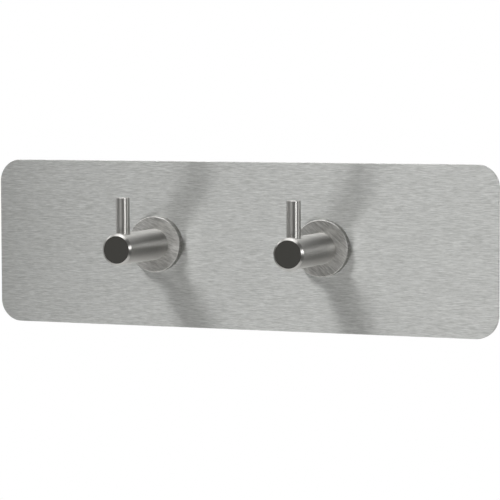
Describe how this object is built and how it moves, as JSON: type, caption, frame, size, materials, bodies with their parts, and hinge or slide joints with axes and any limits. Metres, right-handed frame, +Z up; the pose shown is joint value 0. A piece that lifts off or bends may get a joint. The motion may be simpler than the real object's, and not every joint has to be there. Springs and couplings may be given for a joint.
{
  "type": "wall hook rack",
  "caption": "Long flat steel plate for a wall, with round peg hooks in a row, each on a rosette and with an upright pin near its tip.",
  "frame": {"origin": "centre of the plate's back face, which lies on the wall", "axes": "+X along the plate to the right, +Y into the wall, +Z up; the user stands on the -Y side"},
  "size_m": [0.32, 0.059, 0.1],
  "materials": {
    "brushed_sheet": "stainless sheet, brushed along its length",
    "satin_bar": "turned stainless, satin, polished flat faces",
    "plain_steel": "plain turned steel",
    "black_oxide": "black oxide on alloy steel screws"
  },
  "bodies": {
    "root": {"back_plate": "brushed_sheet", "left_mounting_disc": "plain_steel", "left_rosette": "satin_bar", "left_post": "satin_bar", "left_upright_pin": "satin_bar", "left_post_screw": "black_oxide", "left_locating_pin": "plain_steel", "left_grub_screw": "black_oxide", "right_mounting_disc": "plain_steel", "right_rosette": "satin_bar", "right_post": "satin_bar", "right_upright_pin": "satin_bar", "right_post_screw": "black_oxide", "right_locating_pin": "plain_steel", "right_grub_screw": "black_oxide"}
  },
  "joints": []
}
